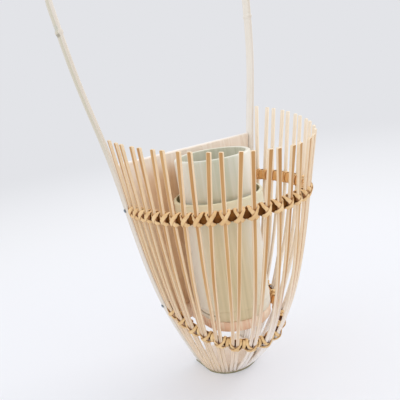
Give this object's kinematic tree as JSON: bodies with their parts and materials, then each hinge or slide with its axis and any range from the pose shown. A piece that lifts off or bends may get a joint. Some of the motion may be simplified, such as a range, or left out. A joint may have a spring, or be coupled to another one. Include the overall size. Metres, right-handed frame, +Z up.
{
  "type": "hanging bamboo flower vase",
  "caption": "Half-round hanging basket of split bamboo sticks lashed to two hoops on a back board, with a strip handle and a lift-out bamboo water tube.",
  "frame": {"origin": "middle of the underside of the foot", "axes": "+Z up along the handle, +X to the viewer's right along the back board, +Y towards the wall behind the board"},
  "size_m": [0.1504, 0.1161, 0.3632],
  "materials": {
    "stick_bamboo": "split bamboo, dark skin outside and pale pith inside",
    "handle_bamboo": "smooth pale bamboo strip",
    "tube_bamboo": "bamboo culm with its green-grey skin",
    "ring_bamboo": "cream bamboo ring",
    "board_wood": "plain planed wood",
    "shelf_wood": "reddish planed wood",
    "foot_bamboo": "bamboo with green skin",
    "hoop_cane": "dark stained cane",
    "lashing_cane": "split cane, orange brown",
    "nail_steel": "dull steel",
    "peg_bamboo": "plain bamboo"
  },
  "bodies": {
    "basket_frame": {"foot": "foot_bamboo", "back_board": "board_wood", "tube_shelf": "shelf_wood", "tube_ring": "ring_bamboo", "handle": "handle_bamboo", "lower_hoop": "hoop_cane", "upper_hoop": "hoop_cane", "lower_lashing_rising": "lashing_cane", "lower_lashing_falling": "lashing_cane", "upper_lashing_rising": "lashing_cane", "upper_lashing_falling": "lashing_cane", "stick_01": "stick_bamboo", "stick_02": "stick_bamboo", "stick_03": "stick_bamboo", "stick_04": "stick_bamboo", "stick_05": "stick_bamboo", "stick_06": "stick_bamboo", "stick_07": "stick_bamboo", "stick_08": "stick_bamboo", "stick_09": "stick_bamboo", "stick_10": "stick_bamboo", "stick_11": "stick_bamboo", "stick_12": "stick_bamboo", "stick_13": "stick_bamboo", "stick_14": "stick_bamboo", "stick_15": "stick_bamboo", "stick_16": "stick_bamboo", "stick_17": "stick_bamboo", "stick_18": "stick_bamboo", "stick_19": "stick_bamboo", "stick_20": "stick_bamboo", "stick_21": "stick_bamboo", "stick_22": "stick_bamboo", "stick_23": "stick_bamboo", "stick_24": "stick_bamboo", "stick_25": "stick_bamboo", "stick_26": "stick_bamboo", "stick_27": "stick_bamboo", "stick_28": "stick_bamboo", "stick_29": "stick_bamboo", "stick_30": "stick_bamboo", "leg_nail_lower_right": "nail_steel", "leg_nail_lower_left": "nail_steel", "leg_nail_upper_right": "nail_steel", "leg_nail_upper_left": "nail_steel", "shelf_peg_left": "peg_bamboo", "shelf_peg_right": "peg_bamboo", "ring_peg": "peg_bamboo"},
    "tube": {"water_tube": "tube_bamboo"}
  },
  "joints": [
    {"name": "tube_lift", "type": "slide", "parent": "basket_frame", "child": "tube", "axis": [0, 0, 1], "range_m": [0, 0.15]}
  ]
}
